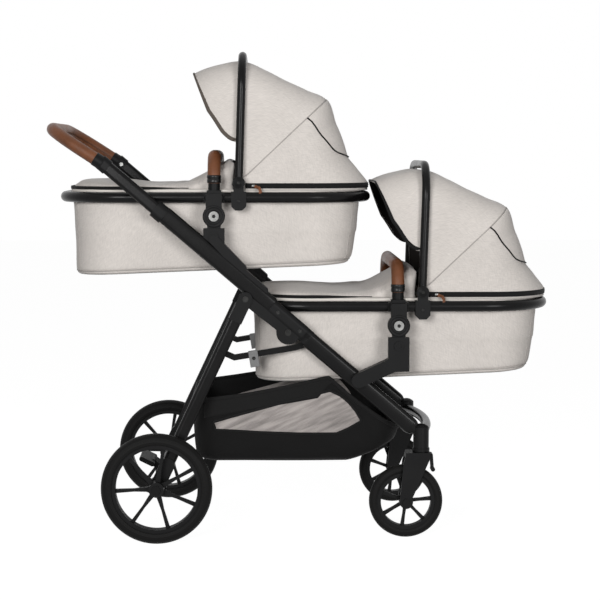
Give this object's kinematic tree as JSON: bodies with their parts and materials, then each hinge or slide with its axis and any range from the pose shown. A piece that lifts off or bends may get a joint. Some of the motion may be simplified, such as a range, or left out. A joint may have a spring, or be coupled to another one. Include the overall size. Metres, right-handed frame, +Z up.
{
  "type": "twin pram",
  "caption": "Tandem twin pram: folding black tube chassis with a leather push bar, a high and a low carrycot with hoods and bumper bars, swivel front wheels and a cloth basket.",
  "frame": {"origin": "on the floor under the middle of the pram's box", "axes": "+X forward, from the push bar to the front casters; +Y to the left; +Z up"},
  "size_m": [1.2936, 0.614, 1.2363],
  "materials": {
    "frame": "satin black powder coat",
    "plastic": "fine grained dark moulding",
    "tyre": "matt rubber",
    "steel": "satin metal",
    "leather": "brown grained leather",
    "cloth": "pale grey melange weave",
    "lining": "soft pale lining",
    "basket_cloth": "black cloth with mesh panels",
    "webbing": "grey webbing"
  },
  "bodies": {
    "upper_frame": {"upper_tubes": "frame", "tube_collars": "plastic", "fold_castings": "plastic", "upper_brackets": "plastic", "pivot_pins": "steel", "frame_screws": "steel"},
    "handle": {"handle_tubes": "frame", "handle_grip": "leather", "handle_collars": "plastic"},
    "handle_button_left": {"handle_button_left": "steel"},
    "handle_button_right": {"handle_button_right": "steel"},
    "front_frame": {"front_legs": "frame", "front_knuckles": "plastic", "front_crossbar": "frame", "caster_housings": "plastic", "lower_brackets": "plastic"},
    "rear_frame": {"rear_legs": "frame", "rear_leg_caps": "plastic", "rear_axle": "frame", "axle_housings": "plastic", "basket": "basket_cloth"},
    "stay_bars": {"stay_bars": "frame", "fold_strap": "webbing"},
    "brake_pedal": {"brake_pedal": "plastic"},
    "caster_left": {"caster_fork_left": "plastic"},
    "swivel_lock_left": {"swivel_lock_left": "plastic"},
    "front_wheel_left": {"front_rim_left": "plastic", "front_tyre_left": "tyre"},
    "rear_wheel_left": {"rear_rim_left": "plastic", "rear_tyre_left": "tyre"},
    "caster_right": {"caster_fork_right": "plastic"},
    "swivel_lock_right": {"swivel_lock_right": "plastic"},
    "front_wheel_right": {"front_rim_right": "plastic", "front_tyre_right": "tyre"},
    "rear_wheel_right": {"rear_rim_right": "plastic", "rear_tyre_right": "tyre"},
    "upper_cot": {"upper_rim": "frame", "upper_tub": "cloth", "upper_mattress": "lining", "upper_apron": "cloth", "upper_hood": "cloth", "upper_adapters": "plastic", "upper_hood_hinges": "plastic"},
    "upper_bow": {"upper_bow": "frame"},
    "upper_hoop": {"upper_hoop": "frame"},
    "upper_bumper": {"upper_bumper": "leather"},
    "upper_release_left": {"upper_release_left": "steel"},
    "upper_release_right": {"upper_release_right": "steel"},
    "lower_cot": {"lower_rim": "frame", "lower_tub": "cloth", "lower_mattress": "lining", "lower_apron": "cloth", "lower_hood": "cloth", "lower_adapters": "plastic", "lower_hood_hinges": "plastic"},
    "lower_bow": {"lower_bow": "frame"},
    "lower_hoop": {"lower_hoop": "frame"},
    "lower_bumper": {"lower_bumper": "leather"},
    "lower_release_left": {"lower_release_left": "steel"},
    "lower_release_right": {"lower_release_right": "steel"}
  },
  "joints": [
    {"name": "handle_slide", "type": "slide", "parent": "upper_frame", "child": "handle", "axis": [-0.7604, 0, 0.6494], "range_m": [-0.08, 0.03]},
    {"name": "frame_fold", "type": "hinge", "parent": "upper_frame", "child": "front_frame", "pos_m": [-0.03567, 0, 0.5305], "axis": [0, 1, 0], "range_deg": [0, 136], "deforming": ["basket"]},
    {"name": "rear_fold", "type": "hinge", "parent": "upper_frame", "child": "rear_frame", "pos_m": [-0.14267, 0, 0.615], "axis": [0, 1, 0], "range_deg": [0, 77]},
    {"name": "stay_swing", "type": "hinge", "parent": "rear_frame", "child": "stay_bars", "pos_m": [-0.20751, 0, 0.47752], "axis": [0, 1, 0], "range_deg": [-30, 0]},
    {"name": "brake_press", "type": "hinge", "parent": "rear_frame", "child": "brake_pedal", "pos_m": [-0.36667, 0, 0.14], "axis": [0, -1, 0], "range_deg": [0, 22]},
    {"name": "handle_button_press_left", "type": "slide", "parent": "handle", "child": "handle_button_left", "axis": [0, 1, 0], "range_m": [0, 0.0025], "stiffness_N_per_m": 600},
    {"name": "caster_swivel_left", "type": "hinge", "parent": "front_frame", "child": "caster_left", "pos_m": [0.30383, 0.219, 0.222], "axis": [0, 0, 1], "continuous": true},
    {"name": "swivel_lock_flip_left", "type": "hinge", "parent": "caster_left", "child": "swivel_lock_left", "pos_m": [0.32983, 0.219, 0.214], "axis": [0, -1, 0], "range_deg": [0, 25]},
    {"name": "front_wheel_spin_left", "type": "hinge", "parent": "caster_left", "child": "front_wheel_left", "pos_m": [0.26533, 0.219, 0.094], "axis": [0, 1, 0], "continuous": true},
    {"name": "rear_wheel_spin_left", "type": "hinge", "parent": "rear_frame", "child": "rear_wheel_left", "pos_m": [-0.36667, 0.282, 0.14], "axis": [0, 1, 0], "continuous": true},
    {"name": "handle_button_press_right", "type": "slide", "parent": "handle", "child": "handle_button_right", "axis": [0, -1, 0], "range_m": [0, 0.0025], "stiffness_N_per_m": 600},
    {"name": "caster_swivel_right", "type": "hinge", "parent": "front_frame", "child": "caster_right", "pos_m": [0.30383, -0.219, 0.222], "axis": [0, 0, 1], "continuous": true},
    {"name": "swivel_lock_flip_right", "type": "hinge", "parent": "caster_right", "child": "swivel_lock_right", "pos_m": [0.32983, -0.219, 0.214], "axis": [0, -1, 0], "range_deg": [0, 25]},
    {"name": "front_wheel_spin_right", "type": "hinge", "parent": "caster_right", "child": "front_wheel_right", "pos_m": [0.26533, -0.219, 0.094], "axis": [0, 1, 0], "continuous": true},
    {"name": "rear_wheel_spin_right", "type": "hinge", "parent": "rear_frame", "child": "rear_wheel_right", "pos_m": [-0.36667, -0.282, 0.14], "axis": [0, 1, 0], "continuous": true},
    {"name": "upper_cot_lift", "type": "slide", "parent": "upper_frame", "child": "upper_cot", "axis": [0, 0, 1], "range_m": [0, 0.05]},
    {"name": "upper_hood_fold", "type": "hinge", "parent": "upper_cot", "child": "upper_bow", "pos_m": [-0.15917, 0, 0.905], "axis": [0, 1, 0], "range_deg": [0, 70], "deforming": ["upper_hood"]},
    {"name": "upper_hoop_fold", "type": "hinge", "parent": "upper_cot", "child": "upper_hoop", "pos_m": [-0.15917, 0, 0.905], "axis": [0, 1, 0], "range_deg": [0, 34]},
    {"name": "upper_bumper_pull", "type": "slide", "parent": "upper_cot", "child": "upper_bumper", "axis": [0, 0, 1], "range_m": [0, 0.05]},
    {"name": "upper_release_press_left", "type": "slide", "parent": "upper_cot", "child": "upper_release_left", "axis": [0, -1, 0], "range_m": [0, 0.004], "stiffness_N_per_m": 600},
    {"name": "upper_release_press_right", "type": "slide", "parent": "upper_cot", "child": "upper_release_right", "axis": [0, 1, 0], "range_m": [0, 0.004], "stiffness_N_per_m": 600},
    {"name": "lower_cot_lift", "type": "slide", "parent": "front_frame", "child": "lower_cot", "axis": [0, 0, 1], "range_m": [0, 0.045]},
    {"name": "lower_hood_fold", "type": "hinge", "parent": "lower_cot", "child": "lower_bow", "pos_m": [0.30583, 0, 0.629], "axis": [0, 1, 0], "range_deg": [0, 70], "deforming": ["lower_hood"]},
    {"name": "lower_hoop_fold", "type": "hinge", "parent": "lower_cot", "child": "lower_hoop", "pos_m": [0.30583, 0, 0.629], "axis": [0, 1, 0], "range_deg": [0, 34]},
    {"name": "lower_bumper_pull", "type": "slide", "parent": "lower_cot", "child": "lower_bumper", "axis": [0, 0, 1], "range_m": [0, 0.05]},
    {"name": "lower_release_press_left", "type": "slide", "parent": "lower_cot", "child": "lower_release_left", "axis": [0, -1, 0], "range_m": [0, 0.004], "stiffness_N_per_m": 600},
    {"name": "lower_release_press_right", "type": "slide", "parent": "lower_cot", "child": "lower_release_right", "axis": [0, 1, 0], "range_m": [0, 0.004], "stiffness_N_per_m": 600}
  ],
  "couplings": [
    {"joint": "rear_fold", "follows": "frame_fold", "ratio": 0.56618},
    {"joint": "stay_swing", "follows": "frame_fold", "ratio": -0.22059},
    {"joint": "upper_hoop_fold", "follows": "upper_hood_fold", "ratio": 0.48},
    {"joint": "lower_hoop_fold", "follows": "lower_hood_fold", "ratio": 0.48}
  ]
}
